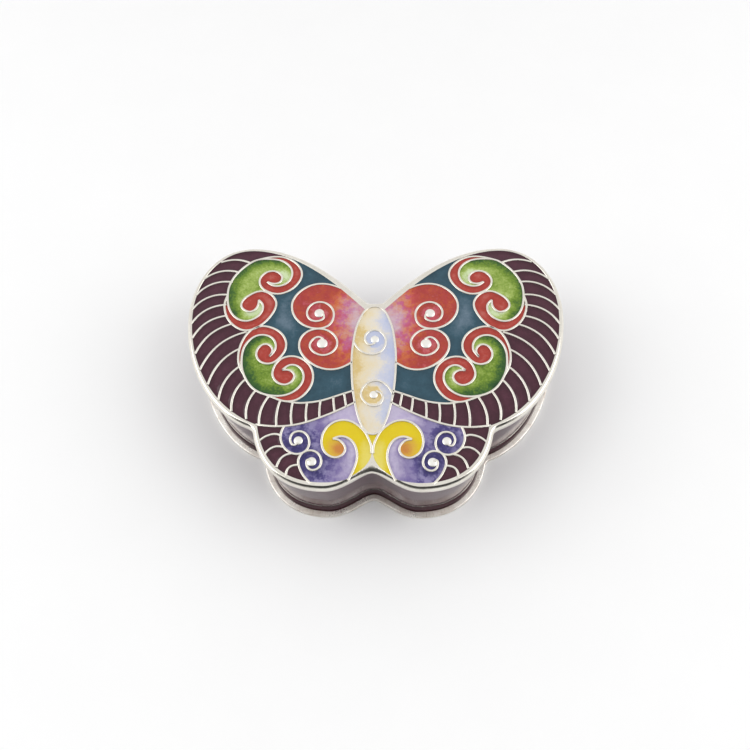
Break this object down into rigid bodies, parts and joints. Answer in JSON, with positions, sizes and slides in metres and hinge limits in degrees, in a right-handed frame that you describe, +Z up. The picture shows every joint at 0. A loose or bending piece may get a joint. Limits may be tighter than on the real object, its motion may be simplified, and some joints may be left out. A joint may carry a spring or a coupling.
{
  "type": "cloisonne enamel box",
  "caption": "Butterfly-shaped lidded trinket box: a shallow silver-coloured metal tray under a deep lift-off lid, with scrollwork enamel on its top and plum enamel sides.",
  "frame": {"origin": "on the surface the box stands on, under the middle of its length and width", "axes": "+Z up through the lid, +X along the spread wings, +Y towards the butterfly's head"},
  "size_m": [0.0786, 0.0554, 0.0188],
  "materials": {
    "tray_metal": "satin silver plate with fine scratches",
    "dark_enamel": "glossy dark plum enamel",
    "lid_metal": "polished silver plate",
    "plum_enamel": "glossy plum enamel",
    "picture_enamel": "glossy coloured enamel between raised silver wires"
  },
  "bodies": {
    "root": {"tray": "tray_metal", "tray_side_enamel": "dark_enamel", "lid": "lid_metal", "lid_side_enamel": "plum_enamel", "lid_top_enamel": "picture_enamel"}
  },
  "joints": []
}
